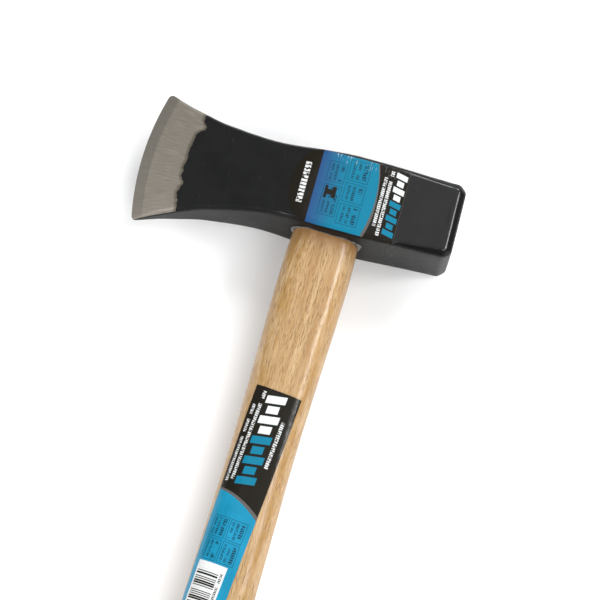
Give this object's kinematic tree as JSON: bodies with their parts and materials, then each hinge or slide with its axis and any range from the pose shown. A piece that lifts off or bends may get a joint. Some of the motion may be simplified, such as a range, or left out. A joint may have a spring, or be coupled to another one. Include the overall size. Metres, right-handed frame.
{
  "type": "splitting maul",
  "caption": "Splitting maul: a forged wedge head with a hammer poll, wedged and resin-bonded onto a straight hardwood handle, with blank-artwork stickers on the cheek and the handle.",
  "frame": {"origin": "on the lower cheek, under the middle of the eye", "axes": "+Z square to the cheeks, handle along -Y, cutting edge on the -X side and poll on the +X side"},
  "size_m": [0.1962, 0.9105, 0.0532],
  "materials": {
    "head_steel": "satin black paint, ground bare steel along the edge",
    "beech": "clear lacquered beech",
    "wedge_wood": "sawn hardwood",
    "wedge_steel": "plain steel",
    "resin": "cured grey resin",
    "label_vinyl": "glossy printed sticker"
  },
  "bodies": {
    "root": {"maul_head": "head_steel", "handle": "beech", "wooden_wedge": "wedge_wood", "steel_wedge_front": "wedge_steel", "steel_wedge_rear": "wedge_steel", "eye_resin": "resin", "resin_bead": "resin", "head_label": "label_vinyl", "handle_label": "label_vinyl"}
  },
  "joints": []
}
